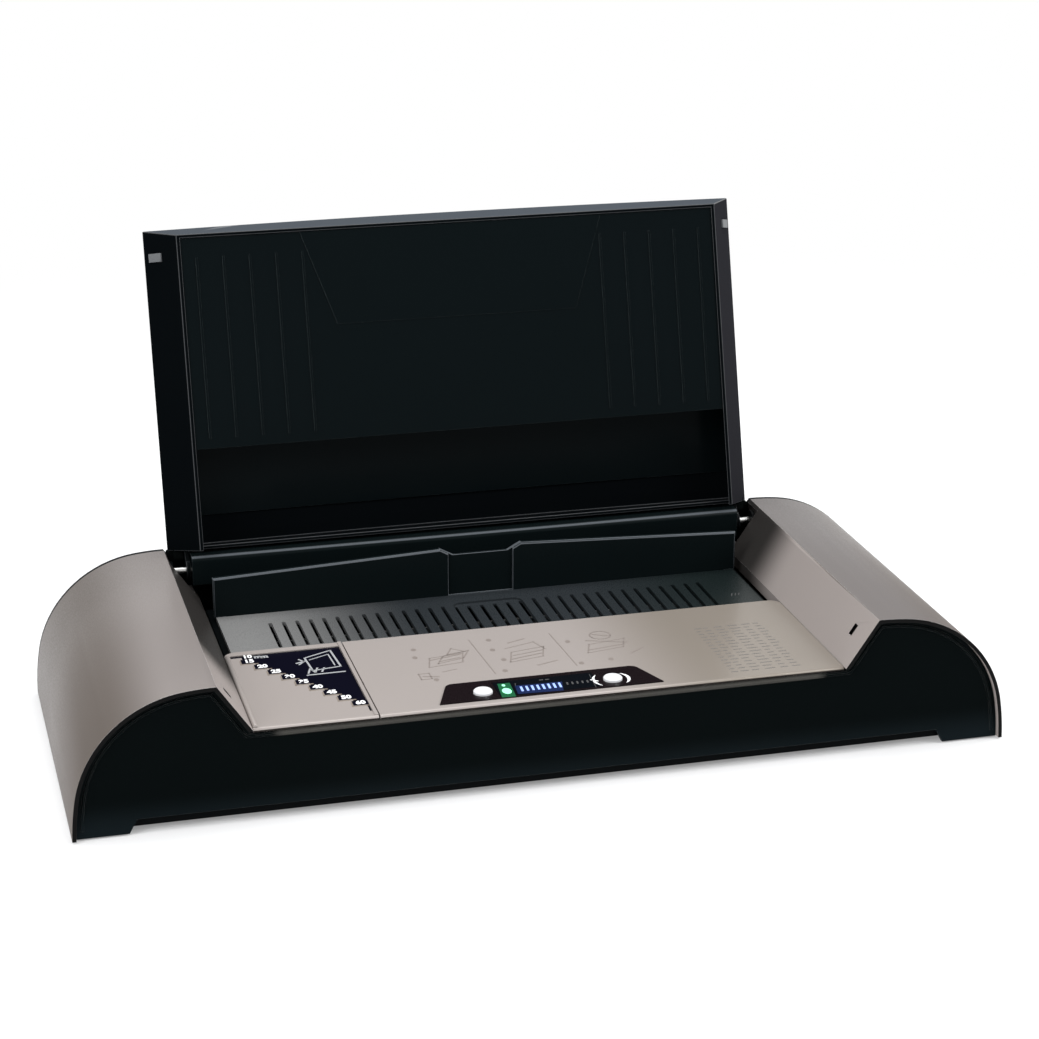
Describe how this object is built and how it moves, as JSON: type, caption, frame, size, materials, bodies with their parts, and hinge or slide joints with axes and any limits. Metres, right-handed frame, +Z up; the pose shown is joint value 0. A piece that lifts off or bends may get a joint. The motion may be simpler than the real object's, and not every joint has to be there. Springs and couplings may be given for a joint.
{
  "type": "thermal binding machine",
  "caption": "Desktop thermal binding machine with a document slot, a sliding slot guard on a cooling shelf, a stepped thickness gauge, control buttons and a hinged lid standing open.",
  "frame": {"origin": "on the table, at the centre of the middle foot's underside, under the middle of the body", "axes": "+X along the machine's width to the user's right, +Y from the front to the rear, +Z up"},
  "size_m": [0.53, 0.2751, 0.271],
  "materials": {
    "shell_metal": "satin champagne paint with fine brushing",
    "deck_metal": "satin champagne paint, a little lighter",
    "shelf_metal": "satin grey paint",
    "black_plastic": "fine-grained near-black plastic",
    "lid_gloss": "smoked near-black gloss",
    "printed_label": "black printed film with white figures",
    "panel_gloss": "black gloss",
    "button_plastic": "white gloss",
    "rocker_plastic": "black gloss",
    "latch_plastic": "light grey gloss",
    "foot_rubber": "matt black",
    "pin_steel": "bright",
    "sheet_steel": "zinc-plated",
    "heater_aluminium": "milled",
    "heater_ceramic": "white unglazed ceramic",
    "circuit_board": "green lacquer",
    "component_plastic": "dark moulded"
  },
  "bodies": {
    "base": {"base_screws": "pin_steel", "base_tray": "black_plastic", "board_spacers": "sheet_steel", "button_switches": "component_plastic", "carriage_rail_left": "black_plastic", "carriage_rail_right": "black_plastic", "control_board": "circuit_board", "control_panel": "panel_gloss", "deck_plate": "deck_metal", "deck_support": "sheet_steel", "display_window": "panel_gloss", "front_panel": "black_plastic", "gauge_label": "printed_label", "gauge_plate": "deck_metal", "heat_shield": "sheet_steel", "heater_plate": "heater_aluminium", "heater_supports": "heater_ceramic", "heating_elements": "heater_ceramic", "hinge_bracket_left": "sheet_steel", "hinge_bracket_right": "sheet_steel", "hinge_pin_left": "pin_steel", "hinge_pin_right": "pin_steel", "inlet_pins": "pin_steel", "mains_inlet": "black_plastic", "power_board": "circuit_board", "power_board_posts": "sheet_steel", "rear_guard": "black_plastic", "rear_panel": "black_plastic", "rear_screws": "pin_steel", "relay": "component_plastic", "rubber_foot_front_left": "foot_rubber", "rubber_foot_front_right": "foot_rubber", "rubber_foot_middle": "foot_rubber", "rubber_foot_rear_left": "foot_rubber", "rubber_foot_rear_right": "foot_rubber", "side_shell_left": "shell_metal", "side_shell_right": "shell_metal", "switch_housing": "black_plastic", "thermal_fuse": "heater_ceramic", "thermostat": "heater_ceramic", "transformer": "component_plastic"},
    "carriage": {"cooling_shelf": "shelf_metal", "slot_front_guard": "black_plastic"},
    "lid": {"lid_arm_left": "black_plastic", "lid_arm_right": "black_plastic", "lid_cover": "black_plastic", "lid_inner_panel": "lid_gloss", "lid_latch_left": "latch_plastic", "lid_latch_right": "latch_plastic"},
    "select_key": {"select_button": "button_plastic"},
    "start_key": {"start_button": "button_plastic"},
    "rocker": {"power_rocker": "rocker_plastic"}
  },
  "joints": [
    {"name": "lid_hinge", "type": "hinge", "parent": "base", "child": "lid", "pos_m": [0, 0.09885, 0.0752], "axis": [1, 0, 0], "range_deg": [0, 105.4]},
    {"name": "guard_slide", "type": "slide", "parent": "base", "child": "carriage", "axis": [0, -0.9998, -0.0192], "range_m": [0, 0.04]},
    {"name": "select_press", "type": "slide", "parent": "base", "child": "select_key", "axis": [0, 0.0192, -0.9998], "range_m": [0, 0.001], "stiffness_N_per_m": 800, "springref_m": -0.0005},
    {"name": "start_press", "type": "slide", "parent": "base", "child": "start_key", "axis": [0, 0.0192, -0.9998], "range_m": [0, 0.001], "stiffness_N_per_m": 800, "springref_m": -0.0005},
    {"name": "rocker_tilt", "type": "hinge", "parent": "base", "child": "rocker", "pos_m": [0.165, 0.1096, 0.0361], "axis": [1, 0, 0], "range_deg": [0, 16]}
  ]
}
